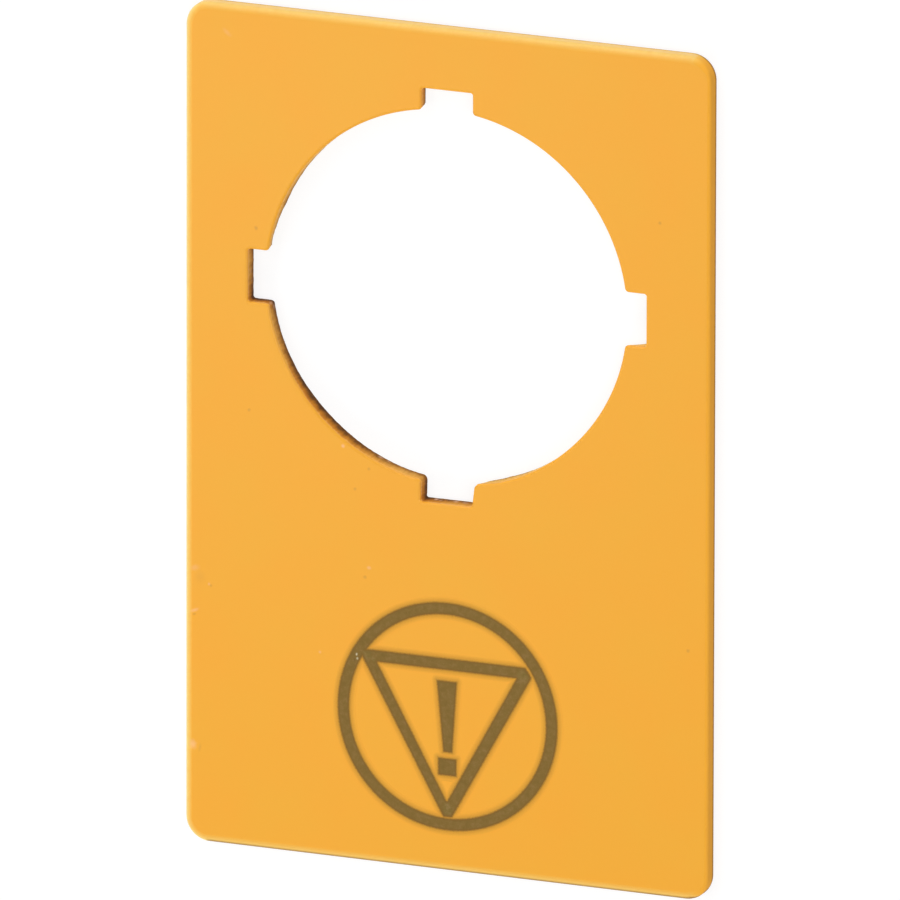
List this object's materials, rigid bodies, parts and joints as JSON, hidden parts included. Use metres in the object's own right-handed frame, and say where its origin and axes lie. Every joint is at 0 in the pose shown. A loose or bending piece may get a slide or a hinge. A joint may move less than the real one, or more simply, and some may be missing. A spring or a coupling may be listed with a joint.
{
  "type": "emergency stop label",
  "caption": "Thin yellow legend plate with a round keyed hole for a 22 mm push button and an emergency stop sign below it.",
  "frame": {"origin": "centre of the keyed hole, on the back face", "axes": "+X across the label, +Y up it towards the end with the hole, +Z out of its face"},
  "size_m": [0.033, 0.051, 0.001],
  "materials": {
    "yellow_plastic": "fine matt sheet, coloured right through, with an olive brown laser mark"
  },
  "bodies": {
    "root": {"label_plate": "yellow_plastic"}
  },
  "joints": []
}
